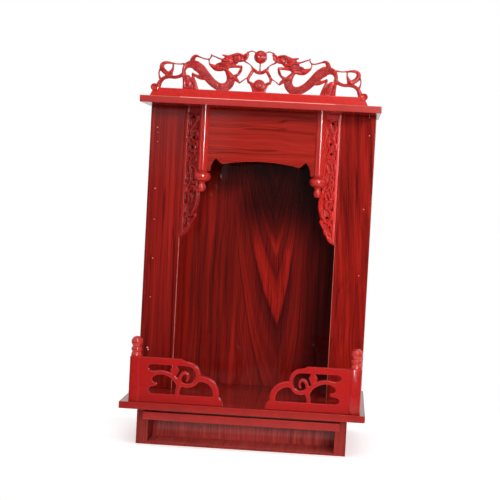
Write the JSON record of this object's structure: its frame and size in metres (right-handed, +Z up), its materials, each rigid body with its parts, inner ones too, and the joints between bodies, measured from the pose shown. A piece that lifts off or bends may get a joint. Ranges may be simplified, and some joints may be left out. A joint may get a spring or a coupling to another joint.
{
  "type": "household altar cabinet",
  "caption": "Open household altar niche of wood-grained boards on a plinth, with a pierced dragon crest, hanging columns, carved brackets and corner balustrades.",
  "frame": {"origin": "middle of the plinth's underside", "axes": "+Z up, +X to the right seen from the front, +Y from the front to the back"},
  "size_m": [0.42, 0.32, 0.687],
  "materials": {
    "grained_board": "glossy red rosewood print film over board",
    "polished_back_board": "high gloss dark red rosewood print film over board",
    "red_lacquer": "bright red gloss lacquer over moulded carving"
  },
  "bodies": {
    "root": {"base_board": "grained_board", "top_board": "grained_board", "left_stile": "grained_board", "right_stile": "grained_board", "left_side": "grained_board", "right_side": "grained_board", "plinth_left": "grained_board", "plinth_right": "grained_board", "plinth_floor": "grained_board", "plinth_front": "grained_board", "plinth_back": "grained_board", "under_rail": "grained_board", "apron": "grained_board", "back_panel": "polished_back_board", "left_column": "red_lacquer", "right_column": "red_lacquer", "left_bracket": "red_lacquer", "right_bracket": "red_lacquer", "crest": "red_lacquer", "left_balustrade": "red_lacquer", "right_balustrade": "red_lacquer"}
  },
  "joints": []
}
